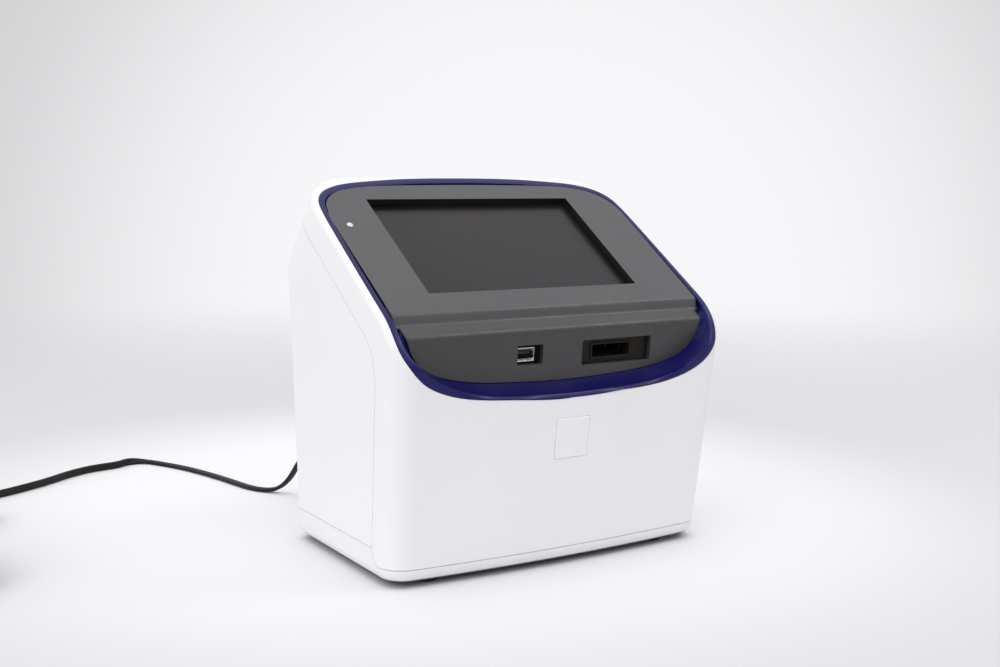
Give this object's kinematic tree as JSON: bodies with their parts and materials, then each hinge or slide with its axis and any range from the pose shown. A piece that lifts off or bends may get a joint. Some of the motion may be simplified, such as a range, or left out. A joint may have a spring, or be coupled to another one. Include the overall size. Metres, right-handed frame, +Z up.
{
  "type": "automated cell counter",
  "caption": "Wedge-shaped benchtop cell counter with a sloping touch screen in a ringed console, a slide port, a USB socket and a flat power lead to a wall adaptor.",
  "frame": {"origin": "on the table, under the middle of the instrument's box, cord not counted", "axes": "+Z up, front of the instrument faces -Y, +X to the right when facing it"},
  "size_m": [0.4441, 0.4078, 0.2209],
  "materials": {
    "housing_white": "satin moulded plastic, fine texture",
    "base_white": "fine-textured moulded plastic",
    "ring_blue": "painted, satin",
    "console_gray": "fine-textured film on plastic",
    "screen_glass": "dark display glass",
    "black_plastic": "moulded",
    "black_foam": "closed-cell foam",
    "port_dark": "moulded",
    "badge": "printed label on metal",
    "connector_steel": "plated",
    "steel": "ground",
    "sheet_steel": "zinc-plated sheet",
    "alu_machined": "machined",
    "alu_black": "black anodised",
    "optic_glass": "polished, coated",
    "mirror_face": "front-surface mirror",
    "pcb_green": "board with parts",
    "led_emitter": "lamp",
    "lens_clear": "light pipe",
    "brass": "turned",
    "foot_rubber": "soft",
    "cord_black": "flexible jacket"
  },
  "bodies": {
    "root": {"base_tray": "base_white", "front_shell": "housing_white", "rear_shell": "housing_white", "trim_ring": "ring_blue", "console_fascia": "console_gray", "touch_glass": "screen_glass", "glass_gasket": "black_foam", "lcd_module": "black_plastic", "display_bracket": "sheet_steel", "bracket_screws": "steel", "status_lens": "lens_clear", "status_board": "pcb_green", "slide_port_insert": "port_dark", "usb_bezel": "port_dark", "usb_shell": "connector_steel", "usb_tongue": "black_plastic", "usb_board": "pcb_green", "badge_plate": "badge", "rubber_feet": "foot_rubber", "base_screws": "steel", "dc_jack": "black_plastic", "power_switch_housing": "black_plastic", "chassis_plate": "sheet_steel", "board_standoffs": "brass", "main_board": "pcb_green", "cpu_heatsink": "alu_black", "speaker": "black_plastic", "stage_block": "alu_black", "latch_pin": "steel", "latch_spring": "steel", "illuminator_housing": "alu_black", "illuminator_led": "led_emitter", "condenser_lens": "optic_glass", "guide_rods": "steel", "focus_motor": "sheet_steel", "optics_frame": "alu_black", "fold_mirror": "mirror_face", "mirror_mount": "alu_machined", "tube_lens_barrel": "alu_black", "tube_lens": "optic_glass", "camera_board": "pcb_green", "camera_sensor": "black_plastic", "camera_bracket": "sheet_steel", "cord_lead": "cord_black", "cord_coil": "cord_black", "coil_tie": "cord_black", "cord_tail": "cord_black", "adaptor_relief": "cord_black", "adaptor_body": "black_plastic", "adaptor_prongs": "brass", "dc_plug": "cord_black", "cord_relief": "cord_black"},
    "rocker": {"power_rocker": "black_plastic"},
    "latch": {"slide_latch": "steel"},
    "screw": {"lead_screw": "steel"},
    "carriage": {"focus_carriage": "alu_machined", "objective_barrel": "brass", "objective_lens": "optic_glass"}
  },
  "joints": [
    {"name": "rocker_tilt", "type": "hinge", "parent": "root", "child": "rocker", "pos_m": [-0.014, 0.07085, 0.048], "axis": [1, 0, 0], "range_deg": [-9, 9]},
    {"name": "latch_pivot", "type": "hinge", "parent": "root", "child": "latch", "pos_m": [0.0546, -0.01715, 0.1222], "axis": [0, 0, -1], "range_deg": [0, 2.6], "stiffness_Nm_per_rad": 0.02, "springref_deg": -2.86},
    {"name": "screw_turn", "type": "hinge", "parent": "root", "child": "screw", "pos_m": [0.062, -0.01115, 0.08], "axis": [0, 0, 1], "range_deg": [-180, 180]},
    {"name": "focus_slide", "type": "slide", "parent": "root", "child": "carriage", "axis": [0, 0, 1], "range_m": [-0.002, 0.002]}
  ],
  "couplings": [
    {"joint": "screw_turn", "follows": "focus_slide", "rad_per_m": 1570.8}
  ]
}
